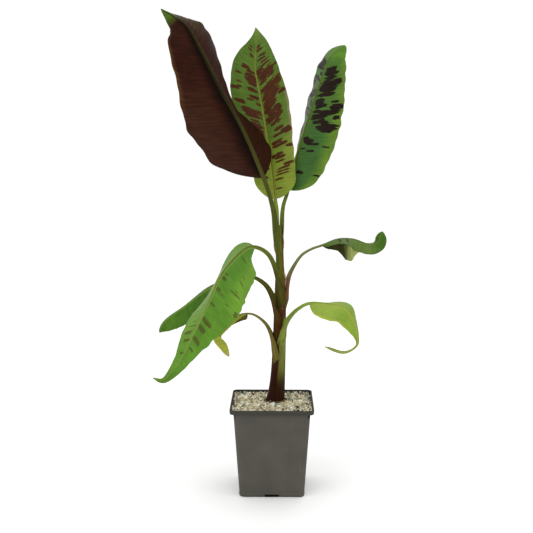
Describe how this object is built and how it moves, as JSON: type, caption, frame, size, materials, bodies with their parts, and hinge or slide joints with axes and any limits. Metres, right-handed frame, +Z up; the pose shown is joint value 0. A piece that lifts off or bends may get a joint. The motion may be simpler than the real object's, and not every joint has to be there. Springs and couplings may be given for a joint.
{
  "type": "potted banana plant",
  "caption": "Young banana plant with mottled upright leaves and drooping lower leaves on arching stalks, in a square nursery pot topped with grit.",
  "frame": {"origin": "middle of the pot's flat underside", "axes": "+Z up the stem, +X to the plant's right as seen from its front, +Y towards its back"},
  "size_m": [0.3072, 0.205, 0.6265],
  "materials": {
    "pot": "matt dark warm grey moulded plastic",
    "potting_mix": "damp, dark and crumbly",
    "grit": "dry, cream coloured crushed grit",
    "stem": "satin, maroon brown sheaths",
    "stalk": "satin, olive green",
    "blade_dark": "satin, maroon brown underside",
    "blade_mottled": "satin green with maroon blotches",
    "blade_green": "satin bright green",
    "blade_yellow": "dull yellow green",
    "blade_olive": "satin olive green",
    "blade_pale": "satin pale yellow green"
  },
  "bodies": {
    "root": {"pot": "pot", "potting_mix": "potting_mix", "grit_top": "grit", "pseudostem": "stem", "stalk_tall_left": "stalk", "blade_tall_left": "blade_dark", "stalk_tall_middle": "stalk", "blade_tall_middle": "blade_mottled", "stalk_tall_right": "stalk", "blade_tall_right": "blade_mottled", "stalk_front_left": "stalk", "blade_front_left": "blade_green", "stalk_back_left": "stalk", "blade_back_left": "blade_green", "stalk_low_left": "stalk", "blade_low_left": "blade_yellow", "curl_low_left": "blade_yellow", "stalk_high_right": "stalk", "blade_high_right": "blade_olive", "stalk_low_right": "stalk", "blade_low_right": "blade_pale", "curl_low_right": "blade_pale"}
  },
  "joints": []
}
